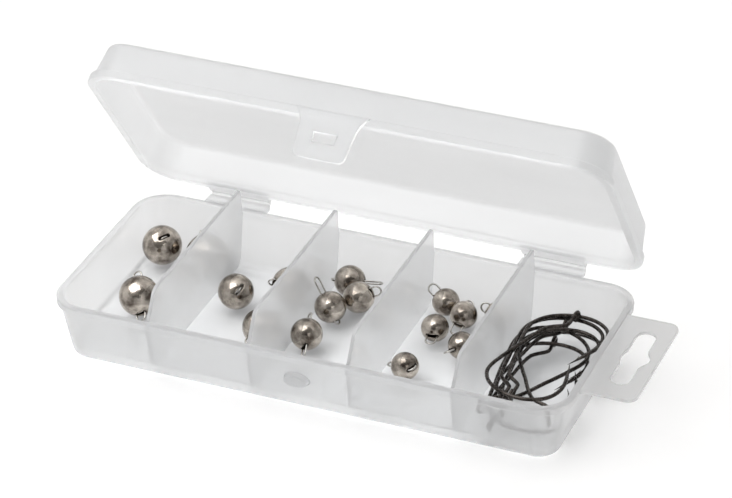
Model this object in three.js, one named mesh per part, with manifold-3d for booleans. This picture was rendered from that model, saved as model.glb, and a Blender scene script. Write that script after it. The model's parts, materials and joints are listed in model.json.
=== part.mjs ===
// A jig head kit: slotted ball weights with wire clips and offset hooks, kept in a hinged,
// five-compartment box of translucent polypropylene. Millimetres, +Z up, +X to the right,
// +Y towards the hinge. The origin is the centre of the tray's underside.
import * as THREE from 'three';
import { mergeVertices } from 'three/addons/utils/BufferGeometryUtils.js';
import Module from 'manifold-3d';

const wasm = await Module();
wasm.setup();

// ---------- driving dimensions ----------

const GAP = 0.3; // between pieces that touch on the real object

// Tray
const LENGTH = 175;
const WIDTH = 78;
const RIM_Z = 22;
const CORNER_RADIUS = 11.7;
const FLOOR_Z = 3.3; // top of the floor, raised above the foot rim
const UNDERSIDE_Z = 1.8;
const LIP_HEIGHT = 2.5;
const CORNER_STEPS = 5;
const FOOT_PAD_RADIUS = 6;

// Dividers, which stand up into the lid
const DIVIDER_X = [-52.2, -17.5, 16.1, 50.8];
const DIVIDER_THICKNESS = 1.3;
const DIVIDER_TOP_Z = 31;

// Lid
const HINGE_Y = 43.75;
const HINGE_Z = 22.35;
const LID_OPEN = THREE.MathUtils.degToRad(53.4);
const LID_RIM_Z = RIM_Z + GAP;
const LID_DEPTH = 13.7;
const LID_TOP_Z = LID_RIM_Z + LID_DEPTH;
const LID_OVERHANG = 0.5;
const LID_LIP_HEIGHT = 2.7;
const PANEL_THICKNESS = 1.4;

// Hinge straps
const STRAP_X = 55.5;
const STRAP_LENGTH = 22;
const STRAP_THICKNESS = 1.3;
const STRAP_END_Y = HINGE_Y - 0.65;
const FILM_RADIUS = 0.35;

// Latch
const LATCH_X = -1;
const FLAP_THICKNESS = 1.3;
const FLAP_TOP_Z = 24.4;
const FLAP_BOTTOM_Z = 7.8;
const FLAP_INNER_Y = -WIDTH / 2 - LID_OVERHANG - GAP;
const CATCH_Z = 12.4;
const CATCH_REACH_Y = -38.7;

// Hang tab with its slot for a display hook
const TAB_REACH = 17.5;
const TAB_WIDTH = 46.6;
const TAB_THICKNESS = 1.2;
const TAB_TOP_Z = 21.8;
const SLOT_X = 96.9;
const SLOT_LENGTH = 31.5;
const SLOT_WIDTH = 6.2;

// Ball weights: a lead ball of each mass, and how far its clip stands out at each end
const BALLS = {
  '14g': { radius: 6.7, reach: 2.7 },
  '10g': { radius: 5.95, reach: 3.0 },
  '7g': { radius: 5.25, reach: 3.5 },
  '5g': { radius: 4.55, reach: 2.7 },
};
const CLIP_WIRE = 0.6; // diameter
const CLIP_WIDTH = 3.0; // between the two wires' centres
const BALL_SLOT_LONG = CLIP_WIDTH + CLIP_WIRE + 2 * GAP;
const BALL_SLOT_SHORT = CLIP_WIRE + 2 * GAP;

// Each head: place on the floor, then its clip's heading, climb and roll in degrees and its
// shift along the slot. A sunk clip is pushed in flush with the ball.
const HEADS = [
  { size: '14g', x: -76.1, y: 24.8, heading: -51, climb: 55, roll: 15, shift: 0, sunk: true },
  { size: '14g', x: -69.5, y: -7.0, heading: 119, climb: 31, roll: -37, shift: -0.2 },
  { size: '14g', x: -60.2, y: 25.0, heading: 126, climb: 30, roll: 70, shift: -0.4 },
  { size: '10g', x: -41.8, y: 8.1, heading: -49, climb: 37, roll: 47, shift: 0, sunk: true },
  { size: '10g', x: -27.0, y: 18.4, heading: -147, climb: 17, roll: 68, shift: -1.3 },
  { size: '10g', x: -25.7, y: -8.7, heading: 85, climb: 10, roll: 0, shift: 0 },
  { size: '7g', x: -10.1, y: 28.9, heading: 16, climb: -2, roll: -46, shift: 2.3 },
  { size: '7g', x: -3.6, y: 20.5, heading: 10, climb: 28, roll: 84, shift: -0.1 },
  { size: '7g', x: -9.9, y: 11.6, heading: 155, climb: 50, roll: 25, shift: 2.3 },
  { size: '7g', x: -10.7, y: -6.2, heading: 104, climb: 25, roll: -62, shift: -0.55 },
  { size: '5g', x: 23.5, y: 29.3, heading: 173, climb: 38, roll: -48, shift: 0.6 },
  { size: '5g', x: 31.6, y: 24.1, heading: -95, climb: -23, roll: -12, shift: 1.15 },
  { size: '5g', x: 25.8, y: 13.4, heading: -82, climb: -7, roll: -2, shift: 1.2 },
  { size: '5g', x: 37.6, y: 6.7, heading: 60, climb: 0, roll: -37, shift: 0 },
  { size: '5g', x: 25.1, y: -11.1, heading: -33, climb: 20, roll: 13, shift: -1.9 },
  { size: '5g', x: 42.2, y: 28.0, heading: -179, climb: 25, roll: -70, shift: -0.6 },
];

// Offset hooks, stacked one above another in the last compartment. Each lies flat; its eye
// stands upright at x, y, and the heading is the way the shank runs from there.
const HOOK_WIRE = 1.15;
const HOOK_LENGTH = 50.6; // from the eye's centre to the outside of the bend
const HOOK_EYE_RADIUS = 1.5;
const HOOK_FIRST_Z = FLOOR_Z + GAP + HOOK_EYE_RADIUS + HOOK_WIRE / 2;
const HOOK_PITCH_Z = 1.35;
const HOOKS = [
  { x: 63, y: 23.5, heading: -89, flip: false },
  { x: 61, y: -30, heading: 91, flip: true },
  { x: 62.5, y: -23.5, heading: 88, flip: true },
  { x: 65, y: 29, heading: -92, flip: false },
  { x: 57, y: -27, heading: 69, flip: false },
  { x: 79, y: -28, heading: 112, flip: true },
  { x: 62.5, y: -24, heading: 89, flip: true },
  { x: 65.5, y: -24, heading: 91, flip: true },
  { x: 70, y: 24, heading: -102, flip: false },
];

// ---------- materials ----------

const polypropylene = () => new THREE.MeshStandardMaterial({
  color: 0xe4e6e6,
  roughness: 0.45,
  metalness: 0,
  transparent: true,
  opacity: 0.45,
});
const lead = () => new THREE.MeshStandardMaterial({ color: 0x8d8881, roughness: 0.22, metalness: 1 });
const springWire = () => new THREE.MeshStandardMaterial({ color: 0xa9a6a0, roughness: 0.25, metalness: 1 });
const blackNickel = () => new THREE.MeshStandardMaterial({ color: 0x3a3431, roughness: 0.32, metalness: 1 });

// ---------- solids ----------

function toSolid(geometry) {
  const bare = geometry.clone();
  bare.deleteAttribute('normal');
  bare.deleteAttribute('uv');
  const merged = mergeVertices(bare, 1e-4);
  return new wasm.Manifold(new wasm.Mesh({
    numProp: 3,
    vertProperties: new Float32Array(merged.attributes.position.array),
    triVerts: new Uint32Array(merged.index.array),
  }));
}

function toGeometry(solid) {
  const mesh = solid.getMesh();
  const geometry = new THREE.BufferGeometry();
  geometry.setAttribute('position', new THREE.BufferAttribute(mesh.vertProperties, 3));
  geometry.setIndex(new THREE.BufferAttribute(mesh.triVerts, 1));
  geometry.computeVertexNormals();
  return geometry;
}

// The points of one rounded rectangle of the box, drawn in by an inset and lying at height z.
function boxOutline(inset, z) {
  const radius = Math.max(CORNER_RADIUS - inset, 4);
  const halfX = LENGTH / 2 - inset - radius;
  const halfY = WIDTH / 2 - inset - radius;
  const corners = [[1, 1], [-1, 1], [-1, -1], [1, -1]];
  const points = [];
  corners.forEach(([sx, sy], corner) => {
    for (let step = 0; step <= CORNER_STEPS; step += 1) {
      const angle = (corner + step / CORNER_STEPS) * (Math.PI / 2);
      const x = sx * halfX + radius * Math.cos(angle);
      const y = sy * halfY + radius * Math.sin(angle);
      points.push(new THREE.Vector3(x, y, z));
    }
  });
  return points;
}

// A shell whose skin passes through the box's outline at each [inset, z] of a profile. The
// profile starts and ends on flat faces, which are closed with a fan.
function boxShell(profile) {
  const rings = profile.map(([inset, z]) => boxOutline(inset, z));
  const count = rings[0].length;
  const positions = [];
  rings.flat().forEach((point) => positions.push(point.x, point.y, point.z));
  const firstCentre = positions.length / 3;
  positions.push(0, 0, rings[0][0].z);
  positions.push(0, 0, rings[rings.length - 1][0].z);
  const index = [];
  for (let i = 0; i < count; i += 1) {
    const next = (i + 1) % count;
    for (let ring = 0; ring < rings.length - 1; ring += 1) {
      const a = ring * count + i;
      const b = ring * count + next;
      index.push(a, b, b + count, a, b + count, a + count);
    }
    const last = (rings.length - 1) * count;
    index.push(firstCentre, next, i);
    index.push(firstCentre + 1, last + i, last + next);
  }
  const geometry = new THREE.BufferGeometry();
  geometry.setAttribute('position', new THREE.Float32BufferAttribute(positions, 3));
  geometry.setIndex(index);
  geometry.computeVertexNormals();
  return geometry;
}

// A plate with its outline drawn in the YZ plane, thickened along +X.
function plateAlongX(shape, thickness) {
  const geometry = new THREE.ExtrudeGeometry(shape, { depth: thickness, bevelEnabled: false, curveSegments: 5 });
  const turn = new THREE.Matrix4().makeBasis(
    new THREE.Vector3(0, 1, 0),
    new THREE.Vector3(0, 0, 1),
    new THREE.Vector3(1, 0, 0),
  );
  geometry.applyMatrix4(turn);
  return geometry.translate(-thickness / 2, 0, 0);
}

// A plate with its outline drawn in the XZ plane, thickened along +Y.
function plateAlongY(shape, thickness) {
  const geometry = new THREE.ExtrudeGeometry(shape, { depth: thickness, bevelEnabled: false, curveSegments: 4 });
  geometry.rotateX(Math.PI / 2);
  return geometry.translate(0, thickness, 0);
}

// A round wire along a curve.
function wire(curve, diameter, sides, steps) {
  const section = new THREE.Shape();
  for (let side = 0; side < sides; side += 1) {
    const angle = (side / sides) * 2 * Math.PI;
    const point = [Math.cos(angle) * diameter / 2, Math.sin(angle) * diameter / 2];
    if (side === 0) {
      section.moveTo(...point);
    } else {
      section.lineTo(...point);
    }
  }
  return new THREE.ExtrudeGeometry(section, { extrudePath: curve, steps, bevelEnabled: false });
}

function part(name, geometry, material) {
  const mesh = new THREE.Mesh(geometry, material);
  mesh.name = name;
  return mesh;
}

// ---------- tray ----------

function trayShell() {
  const outerWallTop = RIM_Z - LIP_HEIGHT;
  const profile = [
    [8.6, UNDERSIDE_Z],
    [8.0, 0],
    [7.0, 0],
    [5.4, 0.7],
    [4.4, 2.4],
    [1.1, outerWallTop],
    [0.1, outerWallTop],
    [0, RIM_Z - 0.4],
    [0.4, RIM_Z],
    [2.4, RIM_Z],
    [2.8, RIM_Z - 0.4],
    [5.0, FLOOR_Z + 2.7],
    [5.8, FLOOR_Z + 0.9],
    [7.6, FLOOR_Z],
  ];
  const padHeight = UNDERSIDE_Z + 0.6;
  const pad = new THREE.CylinderGeometry(FOOT_PAD_RADIUS, FOOT_PAD_RADIUS, padHeight, 16);
  pad.rotateX(Math.PI / 2);
  pad.translate(0, 0, padHeight / 2);
  return part('tray_shell', toGeometry(toSolid(boxShell(profile)).add(toSolid(pad))), polypropylene());
}

// The divider's outline follows the tray's cross-section, and above the rim it leans back at
// the front and has a rounded corner there.
function divider(number, x) {
  const half = WIDTH / 2;
  const shape = new THREE.Shape();
  shape.moveTo(-(half - 7.9), FLOOR_Z + GAP);
  shape.lineTo(half - 7.9, FLOOR_Z + GAP);
  shape.lineTo(half - 6.1, FLOOR_Z + 1.3);
  shape.lineTo(half - 5.3, FLOOR_Z + 2.9);
  shape.lineTo(half - 3.2, RIM_Z - 0.6);
  shape.lineTo(half - 3.5, DIVIDER_TOP_Z);
  shape.lineTo(-(half - 11), DIVIDER_TOP_Z);
  shape.quadraticCurveTo(-(half - 7.6), DIVIDER_TOP_Z, -(half - 6.8), DIVIDER_TOP_Z - 2.4);
  shape.lineTo(-(half - 3.4), RIM_Z);
  shape.lineTo(-(half - 3.2), RIM_Z - 0.6);
  shape.lineTo(-(half - 5.3), FLOOR_Z + 2.9);
  shape.lineTo(-(half - 6.1), FLOOR_Z + 1.3);
  const mesh = part(`divider_${number}`, plateAlongX(shape, DIVIDER_THICKNESS), polypropylene());
  mesh.position.x = x;
  return mesh;
}

// A shallow oval boss on the front wall, which the latch flap's window drops over.
function latchCatch() {
  const wallY = -(WIDTH / 2 - 2.2);
  const depth = wallY - GAP - CATCH_REACH_Y;
  const boss = new THREE.CylinderGeometry(4.2, 3, depth, 20);
  boss.scale(1, 1, 0.62);
  const wallSlope = Math.atan2(3.3, RIM_Z - LIP_HEIGHT - 2.4);
  boss.rotateX(wallSlope);
  const mesh = part('latch_catch', boss, polypropylene());
  mesh.position.set(LATCH_X, CATCH_REACH_Y + depth / 2, CATCH_Z);
  return mesh;
}

function hangTab() {
  const inner = LENGTH / 2 + GAP;
  const outer = LENGTH / 2 + TAB_REACH;
  const half = TAB_WIDTH / 2;
  const corner = 3.5;
  const plate = new THREE.Shape();
  plate.moveTo(inner, -half);
  plate.lineTo(outer - corner, -half);
  plate.absarc(outer - corner, -half + corner, corner, -Math.PI / 2, 0);
  plate.absarc(outer - corner, half - corner, corner, 0, Math.PI / 2);
  plate.lineTo(inner, half);
  const slot = new THREE.Path();
  const end = SLOT_WIDTH / 2;
  const straight = SLOT_LENGTH / 2 - end;
  const hump = 4;
  slot.moveTo(SLOT_X - end, -straight);
  slot.absarc(SLOT_X, -straight, end, Math.PI, 2 * Math.PI);
  slot.lineTo(SLOT_X + end, -hump - 1.2);
  slot.quadraticCurveTo(SLOT_X + end + 0.2, -hump, SLOT_X + end + 1.4, -hump + 1.6);
  slot.quadraticCurveTo(SLOT_X + end + 2.6, 0, SLOT_X + end + 1.4, hump - 1.6);
  slot.quadraticCurveTo(SLOT_X + end + 0.2, hump, SLOT_X + end, hump + 1.2);
  slot.lineTo(SLOT_X + end, straight);
  slot.absarc(SLOT_X, straight, end, 0, Math.PI);
  slot.lineTo(SLOT_X - end, hump);
  slot.quadraticCurveTo(SLOT_X - end - 1.6, 0, SLOT_X - end, -hump);
  plate.holes.push(slot);
  const geometry = new THREE.ExtrudeGeometry(plate, { depth: TAB_THICKNESS, bevelEnabled: false, curveSegments: 6 });
  const mesh = part('hang_tab', geometry, polypropylene());
  mesh.position.z = TAB_TOP_Z - TAB_THICKNESS;
  return mesh;
}

// ---------- hinge straps ----------

function strap(name, x, startY, z) {
  const length = STRAP_END_Y - startY;
  const leaf = new THREE.BoxGeometry(STRAP_LENGTH, length, STRAP_THICKNESS);
  const mesh = part(name, leaf, polypropylene());
  mesh.position.set(x, startY + length / 2, z);
  return mesh;
}

function hingeFilm(side, x) {
  const film = new THREE.CylinderGeometry(FILM_RADIUS, FILM_RADIUS, STRAP_LENGTH - 1, 8);
  film.rotateZ(Math.PI / 2);
  const mesh = part(`hinge_film_${side}`, film, polypropylene());
  mesh.position.set(x, HINGE_Y, HINGE_Z);
  return mesh;
}

// ---------- lid, drawn closed ----------

function lidShell() {
  const lipTop = LID_RIM_Z + LID_LIP_HEIGHT;
  const innerPanelZ = LID_TOP_Z - PANEL_THICKNESS;
  const profile = [
    [5.4, innerPanelZ],
    [3.9, innerPanelZ - 0.5],
    [3.2, innerPanelZ - 1.7],
    [2.1, LID_RIM_Z],
    [-LID_OVERHANG, LID_RIM_Z],
    [-LID_OVERHANG, lipTop - 0.3],
    [-LID_OVERHANG + 0.3, lipTop],
    [0.5, lipTop],
    [1.9, LID_TOP_Z - 2.2],
    [2.6, LID_TOP_Z - 0.6],
    [4.2, LID_TOP_Z],
  ];
  return part('lid_shell', boxShell(profile), polypropylene());
}

// A waisted flap with a window. Its root lies on the front of the lid's lip.
function latchFlap() {
  const flap = new THREE.Shape();
  flap.moveTo(-12.2, FLAP_TOP_Z);
  flap.quadraticCurveTo(-9.6, 21.4, -9.3, 18);
  flap.lineTo(-8.7, 10);
  flap.quadraticCurveTo(-8.6, FLAP_BOTTOM_Z, -6.6, FLAP_BOTTOM_Z);
  flap.lineTo(6.6, FLAP_BOTTOM_Z);
  flap.quadraticCurveTo(8.6, FLAP_BOTTOM_Z, 8.7, 10);
  flap.lineTo(9.3, 18);
  flap.quadraticCurveTo(9.6, 21.4, 12.2, FLAP_TOP_Z);
  const window = new THREE.Path();
  window.moveTo(-3.7, 13.4);
  window.lineTo(-3.9, 16.9);
  window.lineTo(3.9, 16.9);
  window.lineTo(3.7, 13.4);
  flap.holes.push(window);
  const mesh = part('latch_flap', plateAlongY(flap, FLAP_THICKNESS), polypropylene());
  mesh.position.set(LATCH_X, FLAP_INNER_Y - FLAP_THICKNESS, 0);
  return mesh;
}

// ---------- jig heads ----------

// A ball with a through slot along its local X axis, long across Y.
function ballGeometry(radius) {
  const ball = new THREE.SphereGeometry(radius, 14, 9);
  const slot = new THREE.BoxGeometry(4 * radius, BALL_SLOT_LONG, BALL_SLOT_SHORT);
  return toGeometry(toSolid(ball).subtract(toSolid(slot)));
}

// A long loop of wire in the local XY plane. Its two ends meet, with a small gap, halfway
// along one side.
function clipGeometry(halfLength) {
  const end = CLIP_WIDTH / 2;
  const straight = halfLength - CLIP_WIRE / 2 - end;
  const points = [];
  const add = (x, y) => points.push(new THREE.Vector3(x, y, 0));
  add(0.3, -end);
  for (let step = 0; step <= 4; step += 1) {
    const angle = -Math.PI / 2 + (step / 4) * Math.PI;
    add(straight + end * Math.cos(angle), end * Math.sin(angle));
  }
  add(0, end);
  for (let step = 0; step <= 4; step += 1) {
    const angle = Math.PI / 2 + (step / 4) * Math.PI;
    add(-straight + end * Math.cos(angle), end * Math.sin(angle));
  }
  add(-0.3, -end);
  return wire(new THREE.CatmullRomCurve3(points, false, 'centripetal'), CLIP_WIRE, 5, 20);
}

// The ball and its clip share one direction, but move separately, so they are two pieces.
function jigHead(head, number) {
  const { radius, reach } = BALLS[head.size];
  const group = new THREE.Group();
  group.position.set(head.x, head.y, FLOOR_Z + GAP + radius);
  group.rotation.order = 'ZYX';
  group.rotation.set(
    THREE.MathUtils.degToRad(head.roll),
    -THREE.MathUtils.degToRad(head.climb),
    THREE.MathUtils.degToRad(head.heading),
  );
  const halfLength = head.sunk ? radius - GAP : radius + reach;
  const clip = part(`clip_${head.size}_${number}`, clipGeometry(halfLength), springWire());
  clip.position.x = head.shift;
  group.add(part(`ball_${head.size}_${number}`, ballGeometry(radius), lead()));
  group.add(clip);
  return group;
}

// ---------- hooks ----------

// An offset hook from its eye: the eye stands in the local XZ plane, and the neck, the step
// down to the shank, the wide bend and the point all lie in the XY plane.
function hookCurve() {
  const points = [];
  const add = (x, y, z = 0) => points.push(new THREE.Vector3(x, y, z));
  for (const degrees of [330, 285, 240, 180, 120, 70]) {
    const angle = THREE.MathUtils.degToRad(degrees);
    add(HOOK_EYE_RADIUS * Math.cos(angle), 0, HOOK_EYE_RADIUS * Math.sin(angle));
  }
  add(2.8, 0, 0.2);
  add(6, 0);
  add(8.2, -2.2);
  add(10.6, -4.4);
  add(22, -6.2);
  add(34, -7.6);
  add(41.5, -7.2);
  add(47, -3.2);
  add(HOOK_LENGTH - HOOK_WIRE / 2, 4);
  add(49.2, 11.5);
  add(45, 16.6);
  add(38.5, 17.8);
  add(31, 15.4);
  add(24.5, 12.4);
  return new THREE.CatmullRomCurve3(points, false, 'centripetal');
}

function hook(placement, level) {
  const mesh = part(`offset_hook_${level + 1}`, wire(hookCurve(), HOOK_WIRE, 5, 80), blackNickel());
  mesh.position.set(placement.x, placement.y, HOOK_FIRST_Z + level * HOOK_PITCH_Z);
  mesh.rotation.order = 'ZXY';
  mesh.rotation.set(placement.flip ? Math.PI : 0, 0, THREE.MathUtils.degToRad(placement.heading));
  return mesh;
}

// ---------- assembly ----------

const box = new THREE.Group();
box.add(trayShell());
DIVIDER_X.forEach((x, i) => box.add(divider(i + 1, x)));
box.add(latchCatch());
box.add(hangTab());

const lidPivot = new THREE.Group();
lidPivot.position.set(0, HINGE_Y, HINGE_Z);
lidPivot.rotation.x = -LID_OPEN;
const closedLid = new THREE.Group();
closedLid.position.set(0, -HINGE_Y, -HINGE_Z);
lidPivot.add(closedLid);
box.add(lidPivot);
closedLid.add(lidShell());
closedLid.add(latchFlap());

for (const [side, sign] of [['left', -1], ['right', 1]]) {
  const x = sign * STRAP_X;
  box.add(strap(`tray_strap_${side}`, x, WIDTH / 2 + GAP, RIM_Z - STRAP_THICKNESS / 2));
  box.add(hingeFilm(side, x));
  const lidStrapY = WIDTH / 2 + LID_OVERHANG + GAP;
  closedLid.add(strap(`lid_strap_${side}`, x, lidStrapY, HINGE_Z + FILM_RADIUS + STRAP_THICKNESS / 2));
}

const counts = {};
for (const head of HEADS) {
  counts[head.size] = (counts[head.size] ?? 0) + 1;
  box.add(jigHead(head, counts[head.size]));
}
HOOKS.forEach((placement, level) => box.add(hook(placement, level)));

export default box;
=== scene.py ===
"""The looks of the jig head kit: a frosted polypropylene box with its lid open, slotted ball weights
with wire clips, and a bundle of offset worm hooks. Metres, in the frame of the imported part."""

import json
import math

import bmesh
import bpy
import numpy as np
from mathutils import Matrix, Vector
from mathutils import noise as bumps


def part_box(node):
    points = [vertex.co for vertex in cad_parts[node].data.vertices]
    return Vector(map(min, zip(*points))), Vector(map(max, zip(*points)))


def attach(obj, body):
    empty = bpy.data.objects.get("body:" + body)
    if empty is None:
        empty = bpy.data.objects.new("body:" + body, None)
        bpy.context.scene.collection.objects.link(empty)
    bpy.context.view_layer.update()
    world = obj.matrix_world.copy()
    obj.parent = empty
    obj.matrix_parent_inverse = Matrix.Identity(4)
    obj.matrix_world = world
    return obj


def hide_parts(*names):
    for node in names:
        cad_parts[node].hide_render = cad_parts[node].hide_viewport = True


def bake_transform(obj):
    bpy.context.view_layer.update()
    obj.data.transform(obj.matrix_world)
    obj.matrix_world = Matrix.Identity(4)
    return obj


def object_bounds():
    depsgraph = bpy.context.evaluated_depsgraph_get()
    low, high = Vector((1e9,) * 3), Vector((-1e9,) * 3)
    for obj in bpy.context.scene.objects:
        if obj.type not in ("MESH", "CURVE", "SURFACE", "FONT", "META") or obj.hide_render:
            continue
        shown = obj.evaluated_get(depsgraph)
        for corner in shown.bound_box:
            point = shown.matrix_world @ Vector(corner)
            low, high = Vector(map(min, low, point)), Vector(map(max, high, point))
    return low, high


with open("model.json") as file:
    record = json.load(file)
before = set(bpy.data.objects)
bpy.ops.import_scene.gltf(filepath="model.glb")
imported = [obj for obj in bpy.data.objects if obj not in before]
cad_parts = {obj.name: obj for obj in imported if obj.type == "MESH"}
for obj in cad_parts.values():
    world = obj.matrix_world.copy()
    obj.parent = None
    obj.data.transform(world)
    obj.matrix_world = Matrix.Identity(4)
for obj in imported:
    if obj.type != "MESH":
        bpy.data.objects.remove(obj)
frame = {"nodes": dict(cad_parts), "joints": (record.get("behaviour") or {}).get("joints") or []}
CAD_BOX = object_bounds()
JOINTS = {joint["name"]: joint for joint in frame["joints"]}
MM = 0.001

# ---------- driving dimensions ----------

# Tray, measured on the frame, with its fine edges added
TRAY_LOW, TRAY_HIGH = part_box("tray_shell")
LENGTH = TRAY_HIGH.x - TRAY_LOW.x
WIDTH = TRAY_HIGH.y - TRAY_LOW.y
RIM_Z = TRAY_HIGH.z
CORNER_RADIUS = 11.7 * MM
SMALLEST_RADIUS = 4 * MM
CORNER_STEPS = 14
FLOOR_Z = 3.3 * MM
UNDERSIDE_Z = 1.8 * MM
LIP_HEIGHT = 2.5 * MM
WALL_LEAN = math.radians(11)

# Boss on the front wall. Each ring has its size, and how far out it is as a share of the depth.
BOSS_HALF_LENGTH = 4.2 * MM
BOSS_HALF_HEIGHT = 2.6 * MM
BOSS_SUNK = 0.15 * MM  # how far it reaches into the wall
BOSS_POINTS = 40
BOSS_RINGS = ((1.06, 0), (1.0, 0.12), (0.93, 0.62), (0.88, 0.85), (0.78, 0.96), (0.62, 1.0))
BOSS_FACE = 0.9  # rings further out than this are trimmed to the flat face

# Lid, drawn closed and then opened about the hinge
HINGE = JOINTS["lid_hinge"]
HINGE_POINT = Vector(HINGE["pos_m"])
CLOSED_ANGLE = math.radians(HINGE["range_deg"][0])
FLAT_ANGLE = math.radians(HINGE["range_deg"][1])
LID_RIM_Z = RIM_Z + 0.3 * MM
LID_TOP_Z = LID_RIM_Z + 13.7 * MM
LID_OVERHANG = 0.5 * MM
LID_LIP_HEIGHT = 2.7 * MM
PANEL_THICKNESS = 1.4 * MM

# Living hinge
FILM_THICKNESS = 0.3 * MM
FILM_INSET = 0.4 * MM  # from the sides of the leaves, and how far it reaches into each
FILM_STEPS = 24

# Flat pieces, in millimetres: the rounding of a moulded edge and of a hinge leaf's edge
PLATE_EDGE = 0.3
LEAF_EDGE = 0.12

# Hang tab and its slot, in millimetres
TAB_CORNER = 3.5
SLOT_X = 96.9
SLOT_END_RADIUS = 3.1
SLOT_STRAIGHT = 12.65
SLOT_HUMP = 4.0

# Latch flap, drawn closed, in millimetres
FLAP_THICKNESS = 1.3
FLAP_TOP = 24.4
FLAP_BOTTOM = 7.8
FLAP_WINDOW = ((-3.7, 13.4), (3.7, 13.4), (3.9, 16.9), (-3.9, 16.9))

# Ball weights: their slot, its rounded lip, and the casting's unevenness
BALL_SLOT_HALF_LENGTH = 2.1 * MM
BALL_SLOT_HALF_WIDTH = 0.62 * MM
BALL_LIP = 0.22 * MM
BALL_POINTS = 56
BALL_STEPS = 13
DENT_SHARE = 0.004
DENTS_PER_METRE = 260
DENT_SPREAD = 900  # carries each ball to a different place in the noise

CLIP_WIRE_RADIUS = 0.3 * MM

# Hooks: their line after the eye, in millimetres, from the neck to the tip of the point
HOOK_WIRE = 1.25 * MM
HOOK_EYE_RADIUS = 1.5 * MM
HOOK_EYE_ANGLES = (330, 285, 240, 180, 120, 70)
HOOK_LINE = (
    (2.8, 0, 0.2), (6, 0, 0), (8.2, -2.2, 0), (10.6, -4.4, 0), (22, -6.2, 0),
    (34, -7.6, 0), (41.5, -7.2, 0), (47, -3.2, 0), (50, 4, 0), (49.2, 11.5, 0),
    (45, 16.6, 0), (38.5, 17.8, 0), (31, 15.4, 0), (24.5, 12.4, 0),
)
HOOK_TAPER = 8 * MM
BARB_FROM_TIP = 4.2 * MM
BARB_AIM_FROM_TIP = 7.5 * MM
BARB_LINE = ((0, 0.1), (1.3, 0.6), (2.4, 1.25))  # (back, inwards) in millimetres

# Each hook's heading from its eye in degrees, and whether it lies turned over
HOOK_TURNS = (
    (-89, False), (91, True), (88, True), (-92, False), (69, False),
    (112, True), (89, True), (91, True), (-102, False),
)

CAMERA_PLACE = Vector((361.2, -860.6, 605.0)) * MM
CAMERA_AZIMUTH = math.radians(22.34)
CAMERA_ELEVATION = math.radians(31.21)
CAMERA_ROLL = math.radians(-0.44)
CAMERA_LENS = 169.7
SENSOR_WIDTH = 36.0

FLOOR_SIZE = 6.0
FLOOR_GAP = 0.02 * MM


def turned(angle):
    """The turn about the hinge by an angle of the lid's joint, from its rest place."""
    turn = Matrix.Rotation(angle, 4, Vector(HINGE["axis"]))
    return Matrix.Translation(HINGE_POINT) @ turn @ Matrix.Translation(-HINGE_POINT)


OPENED = turned(-CLOSED_ANGLE)

# ---------- materials ----------

POLYPROPYLENE_IOR = 1.49
SHADOW_TINT = (0.86, 0.86, 0.86)
WEAR = 0.02
# Painted shade: where the plastic starts and ends greying towards the hang tab, where it looks
# darker because of how light falls.
PAINTED_SHADE_FROM_X = 74 * MM
PAINTED_SHADE_TO_X = 94 * MM


def new_material(name):
    """A new material, its node tree and its Principled shader."""
    material = bpy.data.materials.new(name)
    material.use_nodes = True
    tree = material.node_tree
    return material, tree, tree.nodes["Principled BSDF"]


def noise(tree, scale, detail=4.0, roughness=0.55, stretch=(1, 1, 1)):
    """Noise in the piece's own space. The scale is in features a metre."""
    place = tree.nodes.new("ShaderNodeTexCoord")
    mapping = tree.nodes.new("ShaderNodeMapping")
    mapping.inputs["Scale"].default_value = stretch
    texture = tree.nodes.new("ShaderNodeTexNoise")
    texture.inputs["Scale"].default_value = scale
    texture.inputs["Detail"].default_value = detail
    texture.inputs["Roughness"].default_value = roughness
    tree.links.new(place.outputs["Object"], mapping.inputs["Vector"])
    tree.links.new(mapping.outputs["Vector"], texture.inputs["Vector"])
    return texture.outputs["Fac"]


def ranged(tree, value, low, high, start=0.3, end=0.7):
    """A value that runs from start to end, spread over low to high."""
    node = tree.nodes.new("ShaderNodeMapRange")
    node.inputs["From Min"].default_value = start
    node.inputs["From Max"].default_value = end
    node.inputs["To Min"].default_value = low
    node.inputs["To Max"].default_value = high
    tree.links.new(value, node.inputs["Value"])
    return node.outputs["Result"]


def mixed(tree, factor, first, second):
    """A colour between two, by a factor. The first can be another node's colour."""
    node = tree.nodes.new("ShaderNodeMix")
    node.data_type = "RGBA"
    if isinstance(first, bpy.types.NodeSocket):
        tree.links.new(first, node.inputs["A"])
    else:
        node.inputs["A"].default_value = (*first, 1)
    node.inputs["B"].default_value = (*second, 1)
    tree.links.new(factor, node.inputs["Factor"])
    return node.outputs["Result"]


def bumped(tree, shader, height, strength, distance):
    """Bump on a shader from a height."""
    node = tree.nodes.new("ShaderNodeBump")
    node.inputs["Strength"].default_value = strength
    node.inputs["Distance"].default_value = distance
    tree.links.new(height, node.inputs["Height"])
    tree.links.new(node.outputs["Normal"], shader.inputs["Normal"])


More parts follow.
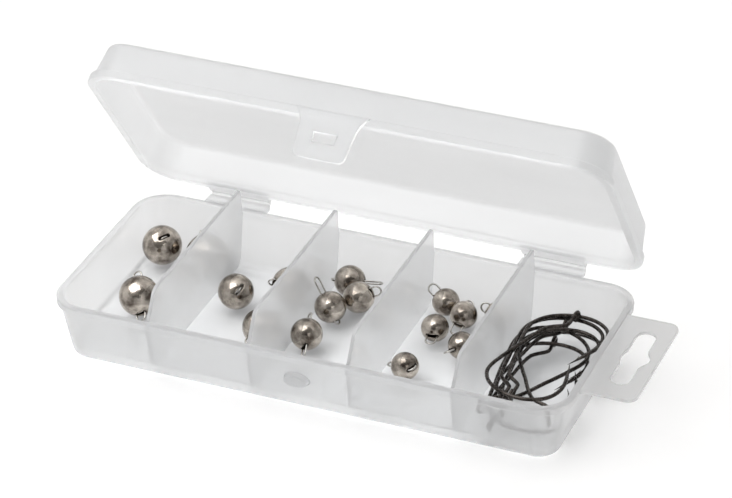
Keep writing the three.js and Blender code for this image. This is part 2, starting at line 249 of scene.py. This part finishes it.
def frosted(name, clearness, milk, rough, light, dark, far):
    """Translucent polypropylene: partly rough glass and partly milky, so that light from behind
    glows through it, with moulding flow and wear. It greys to far towards the hang tab, which is
    painted shade, not the plastic's own tone."""
    material, tree, shader = new_material(name)
    flow = noise(tree, 55, detail=3, stretch=(0.35, 1, 1))
    near = mixed(tree, ranged(tree, flow, 0, 1), dark, light)
    place = tree.nodes.new("ShaderNodeTexCoord")
    along = tree.nodes.new("ShaderNodeSeparateXYZ")
    tree.links.new(place.outputs["Object"], along.inputs["Vector"])
    # Painted shade: the tone greys to far towards the hang tab.
    distance = ranged(tree, along.outputs["X"], 0, 1, PAINTED_SHADE_FROM_X, PAINTED_SHADE_TO_X)
    tone = mixed(tree, distance, near, far)
    tree.links.new(tone, shader.inputs["Base Color"])
    wear = noise(tree, 900, detail=6, stretch=(1, 0.12, 1))
    polish = ranged(tree, wear, rough + WEAR, rough - WEAR)
    tree.links.new(polish, shader.inputs["Roughness"])
    grain = noise(tree, 2600, detail=2)
    bumped(tree, shader, grain, 0.12, 0.00006)
    shader.inputs["IOR"].default_value = POLYPROPYLENE_IOR
    shader.inputs["Transmission Weight"].default_value = clearness
    glow = tree.nodes.new("ShaderNodeBsdfTranslucent")
    tree.links.new(tone, glow.inputs["Color"])
    body = tree.nodes.new("ShaderNodeMixShader")
    body.inputs["Fac"].default_value = milk
    tree.links.new(shader.outputs["BSDF"], body.inputs[1])
    tree.links.new(glow.outputs["BSDF"], body.inputs[2])
    # Lamps light what is behind the frosted wall, as they do through real polypropylene.
    through = tree.nodes.new("ShaderNodeBsdfTransparent")
    through.inputs["Color"].default_value = (*SHADOW_TINT, 1)
    path = tree.nodes.new("ShaderNodeLightPath")
    choice = tree.nodes.new("ShaderNodeMixShader")
    output = tree.nodes["Material Output"]
    tree.links.new(path.outputs["Is Shadow Ray"], choice.inputs["Fac"])
    tree.links.new(body.outputs["Shader"], choice.inputs[1])
    tree.links.new(through.outputs["BSDF"], choice.inputs[2])
    tree.links.new(choice.outputs["Shader"], output.inputs["Surface"])
    return material


def metal(name, light, dark, rough, patch_scale, scratch):
    """Plated metal with a patchy tone, fine scratches and an uneven polish. On the lead the dark
    patches are partly the plating's mottling and partly painted reflections of a dark studio.
    """
    material, tree, shader = new_material(name)
    # Patchy tone: real mottling, and on the lead also painted dark reflections.
    tone_and_reflection_patches = noise(tree, patch_scale, detail=5)
    tone = mixed(tree, ranged(tree, tone_and_reflection_patches, 0, 1, 0.35, 0.65), dark, light)
    tree.links.new(tone, shader.inputs["Base Color"])
    smear = noise(tree, patch_scale * 2.3, detail=6, roughness=0.7)
    polish = ranged(tree, smear, rough * 0.7, rough * 1.6)
    tree.links.new(polish, shader.inputs["Roughness"])
    scratches = noise(tree, patch_scale * 9, detail=4, stretch=(1, 0.15, 0.6))
    bumped(tree, shader, scratches, scratch, 0.00005)
    shader.inputs["Metallic"].default_value = 1.0
    return material


TRAY_PLASTIC = frosted(
    "tray_polypropylene",
    clearness=0.87,
    milk=0.29,
    rough=0.14,
    light=(0.88, 0.885, 0.89),
    dark=(0.855, 0.86, 0.865),
    # far: painted shade towards the hang tab.
    far=(0.76, 0.76, 0.76),
)
LID_PLASTIC = frosted(
    "lid_polypropylene",
    clearness=0.84,
    milk=0.30,
    rough=0.36,
    light=(0.87, 0.875, 0.88),
    dark=(0.84, 0.845, 0.85),
    # far: a slight painted shade towards the hang tab's end.
    far=(0.835, 0.84, 0.845),
)
LEAD = metal(
    "plated_lead",
    light=(0.63, 0.57, 0.50),
    # dark: partly the plating's mottling and partly painted reflection of dark studio parts.
    dark=(0.10, 0.08, 0.065),
    rough=0.10,
    patch_scale=230,
    scratch=0.55,
)
SPRING_WIRE = metal(
    "spring_wire",
    light=(0.62, 0.60, 0.57),
    dark=(0.5, 0.48, 0.45),
    rough=0.16,
    patch_scale=700,
    scratch=0.15,
)
BLACK_NICKEL = metal(
    "black_nickel",
    light=(0.085, 0.075, 0.068),
    dark=(0.035, 0.031, 0.028),
    rough=0.22,
    patch_scale=400,
    scratch=0.2,
)

# ---------- meshes ----------


def weld_and_face_out(mesh):
    """Joins a mesh's coincident vertices and turns its faces outwards."""
    work = bmesh.new()
    work.from_mesh(mesh)
    bmesh.ops.remove_doubles(work, verts=work.verts, dist=0.002 * MM)
    bmesh.ops.recalc_face_normals(work, faces=work.faces)
    work.to_mesh(mesh)
    work.free()


def finish_piece(name, vertices, faces, material, body, nodes, transform=None):
    """A closed mesh as a piece that rides on a body and stands for its CAD nodes."""
    mesh = bpy.data.meshes.new(name)
    mesh.from_pydata([tuple(v) for v in vertices], [], [tuple(f) for f in faces])
    if transform is not None:
        mesh.transform(transform)
    weld_and_face_out(mesh)
    mesh.shade_smooth()
    mesh.materials.append(material)
    piece = bpy.data.objects.new(name, mesh)
    bpy.context.scene.collection.objects.link(piece)
    weighted = piece.modifiers.new("flat_faces_stay_flat", "WEIGHTED_NORMAL")
    weighted.keep_sharp = True
    weighted.weight = 80
    if body is not None:
        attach(piece, body)
    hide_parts(*nodes)
    return piece


def rounded(corners, steps=4):
    """A profile whose corners (inset, z, radius) are rounded, as (inset, z) points."""
    points = []
    for i, (u, v, radius) in enumerate(corners):
        corner = np.array((u, v))
        if radius == 0 or i in (0, len(corners) - 1):
            points.append(corner)
            continue
        before = np.array(corners[i - 1][:2]) - corner
        after = np.array(corners[i + 1][:2]) - corner
        reach = min(radius, np.linalg.norm(before) / 2, np.linalg.norm(after) / 2)
        first = corner + before / np.linalg.norm(before) * reach
        last = corner + after / np.linalg.norm(after) * reach
        for t in np.linspace(0, 1, steps + 1):
            points.append((1 - t) ** 2 * first + 2 * t * (1 - t) * corner + t * t * last)
    return points


def box_outline(inset, z):
    """One rounded rectangle of the box, drawn in by an inset, at height z."""
    radius = max(CORNER_RADIUS - inset, SMALLEST_RADIUS)
    half_x = LENGTH / 2 - inset - radius
    half_y = WIDTH / 2 - inset - radius
    points = []
    for corner, (sx, sy) in enumerate([(1, 1), (-1, 1), (-1, -1), (1, -1)]):
        for step in range(CORNER_STEPS + 1):
            angle = (corner + step / CORNER_STEPS) * math.pi / 2
            x = sx * half_x + radius * math.cos(angle)
            y = sy * half_y + radius * math.sin(angle)
            points.append((x, y, z))
    return points


def loft(rings, closed=False):
    """Faces that join rings of equal count, with flat ends, or joined end to end."""
    count = len(rings[0])
    vertices = [point for ring in rings for point in ring]
    faces = []
    last = len(rings) if closed else len(rings) - 1
    for r in range(last):
        here = r * count
        there = (r + 1) % len(rings) * count
        for i in range(count):
            j = (i + 1) % count
            faces.append((here + i, here + j, there + j, there + i))
    if not closed:
        faces.append(tuple(reversed(range(count))))
        faces.append(tuple(range(len(vertices) - count, len(vertices))))
    return vertices, faces


def box_shell(corners):
    """The box's rounded rectangle carried along a profile of (inset, z, radius) corners."""
    return loft([box_outline(inset, z) for inset, z in rounded(corners)])


def tray():
    """The tray, from the middle of its underside, out over the foot and rim, to its floor."""
    wall_top = RIM_Z - LIP_HEIGHT
    vertices, faces = box_shell([
        (8.6 * MM, UNDERSIDE_Z, 0),
        (8.0 * MM, 0, 0.5 * MM),
        (6.9 * MM, 0, 0.9 * MM),
        (4.6 * MM, 1.6 * MM, 2.2 * MM),
        (1.1 * MM, wall_top, 0.25 * MM),
        (0.1 * MM, wall_top, 0.25 * MM),
        (0, RIM_Z, 0.7 * MM),
        (2.5 * MM, RIM_Z, 0.6 * MM),
        (5.1 * MM, FLOOR_Z + 1.4 * MM, 2.6 * MM),
        (7.6 * MM, FLOOR_Z, 0),
    ])
    finish_piece(
        "tray_moulding", vertices, faces, TRAY_PLASTIC, "tray", ["tray_shell"],
    )


def lid():
    """The lid, from the inside of its panel, down and out over the lip, to the outside."""
    inner = LID_TOP_Z - PANEL_THICKNESS
    lip_top = LID_RIM_Z + LID_LIP_HEIGHT
    vertices, faces = box_shell([
        (5.6 * MM, inner, 0),
        (3.1 * MM, inner, 2.2 * MM),
        (2.1 * MM, LID_RIM_Z, 0.3 * MM),
        (-LID_OVERHANG, LID_RIM_Z, 0.5 * MM),
        (-LID_OVERHANG, lip_top, 0.5 * MM),
        (0.5 * MM, lip_top, 0.3 * MM),
        (2.2 * MM, LID_TOP_Z, 2.6 * MM),
        (5.0 * MM, LID_TOP_Z, 0),
    ])
    finish_piece(
        "lid_moulding", vertices, faces, LID_PLASTIC, "lid", ["lid_shell"], OPENED,
    )


# Outlines are drawn in millimetres in a flat frame, as lists of (u, v) points.


def arc(centre_u, centre_v, radius, start, end, steps=8):
    """Points on a circle from one angle to another, in degrees."""
    angles = np.radians(np.linspace(start, end, steps + 1))
    return [(centre_u + radius * math.cos(a), centre_v + radius * math.sin(a)) for a in angles]


def bend(first, corner, last, steps=6):
    """A quadratic curve that leaves first and reaches last, pulled to corner."""
    first, corner, last = map(np.array, (first, corner, last))
    ts = np.linspace(0, 1, steps + 1)
    return [tuple((1 - t) ** 2 * first + 2 * t * (1 - t) * corner + t * t * last) for t in ts]


def plate(outlines, thickness, edge):
    """Vertices and faces of a plate, centred on its plane, with its outlines' edges rounded. The
    first outline is the outside and the others are holes. In millimetres."""
    curve = bpy.data.curves.new("plate", "CURVE")
    curve.dimensions = "2D"
    curve.fill_mode = "BOTH"
    for outline in outlines:
        line = curve.splines.new("POLY")
        line.points.add(len(outline) - 1)
        for point, (u, v) in zip(line.points, outline):
            point.co = (u, v, 0, 1)
        line.use_cyclic_u = True
    curve.extrude = thickness / 2 - edge
    curve.bevel_depth = edge
    curve.bevel_resolution = 2
    curve.offset = -edge
    holder = bpy.data.objects.new("plate", curve)
    bpy.context.scene.collection.objects.link(holder)
    bpy.context.view_layer.update()
    solid = holder.evaluated_get(bpy.context.evaluated_depsgraph_get())
    mesh = bpy.data.meshes.new_from_object(solid)
    vertices = [vertex.co.copy() for vertex in mesh.vertices]
    faces = [tuple(face.vertices) for face in mesh.polygons]
    bpy.data.objects.remove(holder)
    bpy.data.curves.remove(curve)
    bpy.data.meshes.remove(mesh)
    return vertices, faces


def stood(u, v, normal, origin):
    """The matrix that puts a flat frame's u, v and normal along these directions, from mm to m."""
    matrix = Matrix((u, v, normal)).transposed().to_4x4()
    return Matrix.Translation(Vector(origin) * MM) @ matrix @ Matrix.Scale(MM, 4)


ALONG_X = ((0, 1, 0), (0, 0, 1), (1, 0, 0))
ALONG_Y = ((1, 0, 0), (0, 0, 1), (0, -1, 0))
ALONG_Z = ((1, 0, 0), (0, 1, 0), (0, 0, 1))


def divider(number):
    """A wall across the tray, moulded on, which leans back at the front above the rim."""
    low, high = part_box(f"divider_{number}")
    half = WIDTH / 2 / MM
    rim = RIM_Z / MM
    floor = FLOOR_Z / MM
    top = high.z / MM

    def side(z):
        """How far out the tray's inside wall is at a height."""
        return half - 2.35 - 0.15 * (rim - z)

    foot = [(half - 7.5, floor - 0.1), (half - 6.3, floor + 0.6)]
    lower = bend((half - 6.3, floor + 0.6), (half - 4.95, floor + 1.3), (side(7.3), 7.3), 4)[1:]
    back = foot + lower + [(side(rim), rim - 0.3), (half - 2.75, rim)]
    back += arc(half - 4.4, top - 0.9, 0.9, 10, 90, 5)
    front = bend((-(half - 11.5), top), (-(half - 7.6), top), (-(half - 6.7), top - 2.6), 8)
    front += [(-(half - 2.9), rim), (-side(rim), rim - 0.3)]
    front += [(-u, v) for u, v in reversed(foot + lower)]
    centre = (low.x + high.x) / 2 / MM
    vertices, faces = plate([back + front], (high.x - low.x) / MM, PLATE_EDGE)
    finish_piece(
        f"divider_wall_{number}", vertices, faces, TRAY_PLASTIC, "tray",
        [f"divider_{number}"], stood(*ALONG_X, (centre, 0, 0)),
    )


def latch_boss():
    """The oval boss on the front wall that the latch's window drops over."""
    low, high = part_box("latch_catch")
    centre = (low + high) / 2
    depth = high.y - low.y
    rings = []
    for grow, out in BOSS_RINGS:
        ring = []
        for step in range(BOSS_POINTS):
            angle = step / BOSS_POINTS * 2 * math.pi
            x = centre.x + grow * BOSS_HALF_LENGTH * math.cos(angle)
            z = centre.z + grow * BOSS_HALF_HEIGHT * math.sin(angle)
            y = high.y + BOSS_SUNK - (depth + BOSS_SUNK) * out
            y += math.tan(WALL_LEAN) * (centre.z - z)
            if out > BOSS_FACE:
                y = max(y, low.y)
            ring.append((x, y, z))
        rings.append(ring)
    vertices, faces = loft(rings)
    finish_piece("catch_boss", vertices, faces, TRAY_PLASTIC, "tray", ["latch_catch"])


def hanger():
    """The tab with its slot for a display hook."""
    low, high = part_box("hang_tab")
    inner = LENGTH / 2 / MM - 0.2
    outer = high.x / MM
    half = (high.y - low.y) / 2 / MM
    outside = [(inner, -half - 0.8), (inner + 0.9, -half)]
    outside += arc(outer - TAB_CORNER, -half + TAB_CORNER, TAB_CORNER, -90, 0)
    outside += arc(outer - TAB_CORNER, half - TAB_CORNER, TAB_CORNER, 0, 90)
    outside += [(inner + 0.9, half), (inner, half + 0.8)]
    near = SLOT_X - SLOT_END_RADIUS
    far = SLOT_X + SLOT_END_RADIUS
    hump_start = (far + 1.4, -SLOT_HUMP + 1.6)
    hump_end = (far + 1.4, SLOT_HUMP - 1.6)
    slot = arc(SLOT_X, -SLOT_STRAIGHT, SLOT_END_RADIUS, 180, 360)
    slot += bend((far, -SLOT_HUMP - 1.2), (far + 0.2, -SLOT_HUMP), hump_start, 4)
    slot += bend(hump_start, (far + 2.6, 0), hump_end, 6)
    slot += bend(hump_end, (far + 0.2, SLOT_HUMP), (far, SLOT_HUMP + 1.2), 4)
    slot += arc(SLOT_X, SLOT_STRAIGHT, SLOT_END_RADIUS, 0, 180)
    slot += bend((near, SLOT_HUMP), (near - 1.6, 0), (near, -SLOT_HUMP), 8)
    vertices, faces = plate([outside, slot], (high.z - low.z) / MM, PLATE_EDGE)
    finish_piece(
        "hanger", vertices, faces, TRAY_PLASTIC, "tray",
        ["hang_tab"], stood(*ALONG_Z, (0, 0, (low.z + high.z) / 2 / MM)),
    )


def straps_and_film(side):
    """A leaf on the tray, a leaf on the lid, and the thin film that bends between them."""
    low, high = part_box(f"tray_strap_{side}")
    width = (high.x - low.x) / MM
    centre = (low.x + high.x) / 2 / MM
    tip = high.y / MM
    top = high.z / MM
    bottom = low.z / MM
    root = WIDTH / 2 / MM - 0.3
    lid_root = (WIDTH / 2 + LID_OVERHANG) / MM - 0.3
    place = stood(*ALONG_X, (centre, 0, 0))
    leaf = [(root, bottom), (tip - 0.7, bottom), (tip, top - 0.35), (tip, top), (root, top)]
    vertices, faces = plate([leaf], width, LEAF_EDGE)
    finish_piece(
        f"tray_leaf_{side}", vertices, faces, TRAY_PLASTIC, "tray",
        [f"tray_strap_{side}"], place,
    )
    # The lid's leaf is the tray's one, mirrored at the height of the hinge.
    axis_z = HINGE_POINT.z / MM
    leaf = [(max(u, lid_root), 2 * axis_z - v) for u, v in reversed(leaf)]
    vertices, faces = plate([leaf], width, LEAF_EDGE)
    finish_piece(
        f"lid_leaf_{side}", vertices, faces, LID_PLASTIC, "lid",
        [f"lid_strap_{side}"], OPENED @ place,
    )
    # The film is drawn with the lid laid flat open, then curled to its rest place.
    start = high.y
    end = 2 * HINGE_POINT.y - high.y
    middle = high.z - FILM_THICKNESS / 2
    half_x = width / 2 * MM - FILM_INSET
    rings = []
    for step in range(FILM_STEPS + 1):
        y = start - FILM_INSET + step / FILM_STEPS * (end - start + 2 * FILM_INSET)
        share = min(max((y - start) / (end - start), 0), 1)
        share = share * share * (3 - 2 * share)
        curl = turned(-FLAT_ANGLE * share)
        ring = []
        for x, z in ((-1, -1), (1, -1), (1, 1), (-1, 1)):
            point = Vector((centre * MM + x * half_x, y, middle + z * FILM_THICKNESS / 2))
            ring.append(curl @ point)
        rings.append(ring)
    vertices, faces = loft(rings)
    film = finish_piece(
        f"living_hinge_{side}", vertices, faces, TRAY_PLASTIC, None,
        [f"hinge_film_{side}"],
    )
    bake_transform(film)


def latch():
    """A waisted flap with a window."""
    front = -(WIDTH / 2 + LID_OVERHANG) / MM - 0.3
    half = bend((12.2, FLAP_TOP), (9.6, 21.4), (9.3, 18), 6)
    half += bend((8.7, 10.4), (8.6, FLAP_BOTTOM), (6.0, FLAP_BOTTOM), 6)
    outline = half + [(-u, v) for u, v in reversed(half)]
    vertices, faces = plate([outline, FLAP_WINDOW], FLAP_THICKNESS, PLATE_EDGE)
    place = OPENED @ stood(*ALONG_Y, (-1, front - FLAP_THICKNESS / 2, 0))
    finish_piece(
        "latch_tongue", vertices, faces, LID_PLASTIC, "latch", ["latch_flap"], place,
    )


# ---------- jig heads ----------


def head_frame(key):
    """A head's centre, its clip's directions, and the clip's half length, half width and shift,
    measured on the frame's nodes."""
    clip = np.array([v.co for v in frame["nodes"][f"clip_{key}"].data.vertices], float)
    centre = sum(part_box(f"ball_{key}"), Vector()) / 2
    along = Vector(JOINTS[f"clip_slide_{key}"]["axis"]).normalized()
    flat = clip - np.outer(clip @ np.array(along), along)
    flat -= flat.mean(0)
    across = Vector(np.linalg.eigh(flat.T @ flat)[1][:, -1])
    across = (across - across.dot(along) * along).normalized()
    lengths = (clip - np.array(centre)) @ np.array(along)
    widths = (clip - np.array(centre)) @ np.array(across)
    return {
        "centre": centre,
        "turn": Matrix((along, across, along.cross(across))).transposed(),
        "half_length": (lengths.max() - lengths.min()) / 2,
        "shift": (lengths.max() + lengths.min()) / 2,
        "half_width": (widths.max() - widths.min()) / 2,
    }


def stadium(half_long, half_short, count):
    """A slot's outline with round ends, its points evenly spaced, starting on the long axis."""
    radius = half_short
    straight = half_long - radius
    quarter = straight + math.pi / 2 * radius
    points = []
    for step in range(count):
        walk = step / count * 4 * quarter
        side, rest = divmod(walk, 2 * quarter)
        rest -= math.pi / 2 * radius
        if rest < 0:
            angle = math.pi / 2 + rest / radius
            point = (straight + radius * math.cos(angle), radius * math.sin(angle))
        elif rest <= 2 * straight:
            point = (straight - rest, radius)
        else:
            angle = math.pi / 2 + (rest - 2 * straight) / radius
            point = (-straight + radius * math.cos(angle), radius * math.sin(angle))
        sign = -1 if side else 1
        points.append((sign * point[0], sign * point[1]))
    return points


def ball(key):
    """A cast ball with a through slot: rings run from the slot's wall over its lip and round."""
    head = head_frame(key)
    node = np.array([v.co for v in frame["nodes"][f"ball_{key}"].data.vertices], float)
    radius = np.linalg.norm(node - np.array(head["centre"]), axis=1).max()
    angles = np.arange(BALL_POINTS) / BALL_POINTS * 2 * math.pi
    circle = [(math.cos(a), math.sin(a)) for a in angles]

    def slot_grown(grow):
        """The slot's outline, wider all round by an amount."""
        return stadium(BALL_SLOT_HALF_LENGTH + grow, BALL_SLOT_HALF_WIDTH + grow, BALL_POINTS)

    def on_ball(u, v, drop):
        """The point of the ball over (u, v), sunk by a drop."""
        return Vector((math.sqrt(radius**2 - u * u - v * v) - drop, u, v))

    slot = slot_grown(0)
    middle = slot_grown(BALL_LIP * 0.3)
    wide = slot_grown(BALL_LIP)
    side = [[Vector((0, u, v)) for u, v in slot]]
    side.append([on_ball(u, v, 2.5 * BALL_LIP) for u, v in slot])
    side.append([on_ball(u, v, BALL_LIP) for u, v in slot])
    side.append([on_ball(u, v, BALL_LIP * 0.3) for u, v in middle])
    for step in range(BALL_STEPS + 1):
        t = step / BALL_STEPS
        ring = []
        for (u, v), (c, s) in zip(wide, circle):
            start = on_ball(u, v, 0).normalized()
            ring.append(start.slerp(Vector((0, c, s)), t) * radius)
        side.append(ring)
    other = [[Vector((-p.x, p.y, p.z)) for p in ring] for ring in reversed(side[1:-1])]
    vertices, faces = loft(side + other, closed=True)
    dented = []
    for vertex in vertices:
        if vertex.length > radius * 0.93:
            wobble = bumps.noise(vertex * DENTS_PER_METRE + head["centre"] * DENT_SPREAD)
            vertex = vertex * (1 + DENT_SHARE * wobble)
        dented.append(vertex)
    place = Matrix.Translation(head["centre"]) @ head["turn"].to_4x4()
    finish_piece(
        f"weight_{key}", dented, faces, LEAD,
        f"head_{key}", [f"ball_{key}"], place,
    )


def sweep(points, radii, sides=12):
    """A round wire along points, with a radius at each, and rounded ends."""
    points = np.array(points, float)
    tangents = np.gradient(points, axis=0)
    tangents /= np.linalg.norm(tangents, axis=1)[:, None]
    across = np.cross(tangents[0], (0.31, 0.17, 0.93))
    rings = []
    for i, (point, tangent) in enumerate(zip(points, tangents)):
        across = across - (across @ tangent) * tangent
        across /= np.linalg.norm(across)
        other = np.cross(tangent, across)
        ends = [(0, 1)]
        if i == 0:
            ends = [(-math.sin(a), math.cos(a)) for a in np.radians((72, 45, 20, 0))]
        elif i == len(points) - 1:
            ends = [(math.sin(a), math.cos(a)) for a in np.radians((0, 20, 45, 72))]
        for out, share in ends:
            ring = []
            for step in range(sides):
                angle = step / sides * 2 * math.pi
                reach = math.cos(angle) * across + math.sin(angle) * other
                ring.append(Vector(point + radii[i] * (share * reach + out * tangent)))
            rings.append(ring)
    return loft(rings)


def clip(key):
    """A long loop of spring wire whose ends meet halfway along one side, inside the ball."""
    head = head_frame(key)
    end = head["half_width"] - CLIP_WIRE_RADIUS
    straight = head["half_length"] - CLIP_WIRE_RADIUS - end
    path = [(CLIP_WIRE_RADIUS, -end, 0)]
    for middle, start in ((straight, -90), (-straight, 90)):
        for angle in np.radians(np.linspace(start, start + 180, 15)):
            path.append((middle + end * math.cos(angle), end * math.sin(angle), 0))
    path.append((-CLIP_WIRE_RADIUS, -end, 0))
    vertices, faces = sweep(path, [CLIP_WIRE_RADIUS] * len(path), 10)
    place = Matrix.Translation(head["centre"]) @ head["turn"].to_4x4()
    place = place @ Matrix.Translation((head["shift"], 0, 0))
    finish_piece(
        f"wire_clip_{key}", vertices, faces, SPRING_WIRE,
        f"clip_{key}", [f"clip_{key}"], place,
    )


def between(first, last, start, end, t):
    """The point at t on the line that is at first when t is start, and at last when it is end."""
    return (first * (end - t) + last * (t - start)) / (end - start)


def spline(points, steps):
    """A smooth line through points, evenly loose round each of them."""
    points = np.array(points, float)
    points = np.vstack((2 * points[0] - points[1], points, 2 * points[-1] - points[-2]))
    line = []
    for a, b, c, d in zip(points, points[1:], points[2:], points[3:]):
        gaps = [np.linalg.norm(q - p) ** 0.5 for p, q in ((a, b), (b, c), (c, d))]
        knots = np.cumsum([0] + gaps)
        for t in np.linspace(knots[1], knots[2], steps, endpoint=False):
            level = [a, b, c, d]
            for width in (1, 2, 3):
                level = [
                    between(level[i], level[i + 1], knots[i], knots[i + width], t)
                    for i in range(4 - width)
                ]
            line.append(level[0])
    return np.array(line + [points[-2]])


def hook(number, heading, turned_over):
    """An offset hook: upright eye, neck, step, shank, wide bend, and a barbed point that tapers."""
    eye = [
        (HOOK_EYE_RADIUS * math.cos(a), 0, HOOK_EYE_RADIUS * math.sin(a))
        for a in np.radians(HOOK_EYE_ANGLES)
    ]
    path = spline(eye + [tuple(np.array(point) * MM) for point in HOOK_LINE], 9)
    walked = np.append(0, np.cumsum(np.linalg.norm(np.diff(path, axis=0), axis=1)))
    left = walked[-1] - walked
    at_eye = np.interp(walked, (0, 3 * MM), (0.65, 1))
    at_tip = np.interp(left, (0, HOOK_TAPER), (0.06, 1))
    vertices, faces = sweep(path, HOOK_WIRE / 2 * at_eye * at_tip)
    # The barb is a sliver lifted from the inside of the point, and looks back at the bend.
    root = path[np.searchsorted(-left, -BARB_FROM_TIP)]
    back = path[np.searchsorted(-left, -BARB_AIM_FROM_TIP)] - root
    back /= np.linalg.norm(back)
    inwards = np.array((back[1], -back[0], 0)) * (1 if back[1] > 0 else -1)
    barb = [root + back * u * MM + inwards * v * MM for u, v in BARB_LINE]
    barb_vertices, barb_faces = sweep(spline(barb, 4), np.linspace(0.3, 0.05, 9) * MM, 8)
    faces = list(faces) + [[corner + len(vertices) for corner in face] for face in barb_faces]
    vertices = list(vertices) + list(barb_vertices)
    turn = Matrix.Rotation(math.radians(heading), 4, "Z")
    if turned_over:
        turn = turn @ Matrix.Rotation(math.pi, 4, "X")
    low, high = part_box(f"offset_hook_{number}")
    placed = np.array([turn @ Vector(v) for v in vertices])
    middle = Vector((placed.min(0) + placed.max(0)) / 2)
    place = Matrix.Translation((low + high) / 2 - middle) @ turn
    finish_piece(
        f"worm_hook_{number}", vertices, faces, BLACK_NICKEL, "hook_bundle",
        [f"offset_hook_{number}"], place,
    )


# ---------- assembly ----------

tray()
lid()
for number in range(1, 5):
    divider(number)
latch_boss()
hanger()
for side in ("left", "right"):
    straps_and_film(side)
latch()
for node in sorted(frame["nodes"]):
    if node.startswith("ball_"):
        ball(node.removeprefix("ball_"))
        clip(node.removeprefix("ball_"))
for number, (heading, turned_over) in enumerate(HOOK_TURNS, 1):
    hook(number, heading, turned_over)

# ---------- studio ----------


def soft_box(name, direction, distance, size, power):
    data = bpy.data.lights.new(name, "AREA")
    data.shape = "RECTANGLE"
    data.size, data.size_y = size
    data.energy = power
    lamp = bpy.data.objects.new(name, data)
    bpy.context.scene.collection.objects.link(lamp)
    towards = Vector(direction).normalized()
    lamp.location = towards * distance
    lamp.rotation_euler = towards.to_track_quat("Z", "Y").to_euler()


def paper_floor():
    material, tree, shader = new_material("floor_paper")
    paper = ranged(tree, noise(tree, 40, detail=5), 0, 1)
    tone = mixed(tree, paper, (0.94, 0.94, 0.94), (0.96, 0.96, 0.96))
    tree.links.new(tone, shader.inputs["Base Color"])
    shader.inputs["Roughness"].default_value = 0.8
    mesh = bpy.data.meshes.new("floor")
    half = FLOOR_SIZE / 2
    corners = [(-half, -half, 0), (half, -half, 0), (half, half, 0), (-half, half, 0)]
    mesh.from_pydata(corners, [], [(0, 1, 2, 3)])
    mesh.materials.append(material)
    floor = bpy.data.objects.new("floor", mesh)
    bpy.context.scene.collection.objects.link(floor)
    floor.location.z = CAD_BOX[0].z - FLOOR_GAP


def studio():
    """The floor, two soft lamps, and a room that is brighter behind and to the left."""
    paper_floor()
    world = bpy.data.worlds.new("studio")
    bpy.context.scene.world = world
    world.use_nodes = True
    tree = world.node_tree
    place = tree.nodes.new("ShaderNodeTexCoord")
    slant = tree.nodes.new("ShaderNodeVectorMath")
    slant.operation = "DOT_PRODUCT"
    slant.inputs[1].default_value = Vector((-0.6, 0.7, 0.35)).normalized()
    tree.links.new(place.outputs["Generated"], slant.inputs[0])
    shade = ranged(tree, slant.outputs["Value"], 0.15, 0.85, -0.6, 0.8)
    tree.links.new(shade, tree.nodes["Background"].inputs["Strength"])
    tree.nodes["Background"].inputs["Color"].default_value = (1.0, 0.985, 0.97, 1)
    soft_box("key", (-0.341, -0.208, 0.917), 2.4, (2.3, 2.3), 43)
    soft_box("fill", (0.9, -0.9, 0.45), 1.8, (0.8, 1.2), 3)
    bpy.context.scene.view_settings.view_transform = "Standard"


def camera():
    """The camera, turned to its azimuth, elevation and roll, at its place."""
    data = bpy.data.cameras.new("camera")
    data.lens = CAMERA_LENS
    data.sensor_width = SENSOR_WIDTH
    data.clip_start = 0.05
    data.clip_end = 20
    eye = bpy.data.objects.new("camera", data)
    bpy.context.scene.collection.objects.link(eye)
    level = math.cos(CAMERA_ELEVATION)
    back = Vector((
        math.sin(CAMERA_AZIMUTH) * level,
        -math.cos(CAMERA_AZIMUTH) * level,
        math.sin(CAMERA_ELEVATION),
    ))
    eye.rotation_mode = "QUATERNION"
    aim = (-back).to_track_quat("-Z", "Y")
    eye.rotation_quaternion = aim @ Matrix.Rotation(CAMERA_ROLL, 3, "Z").to_quaternion()
    eye.location = CAMERA_PLACE
    bpy.context.scene.camera = eye


studio()
camera()
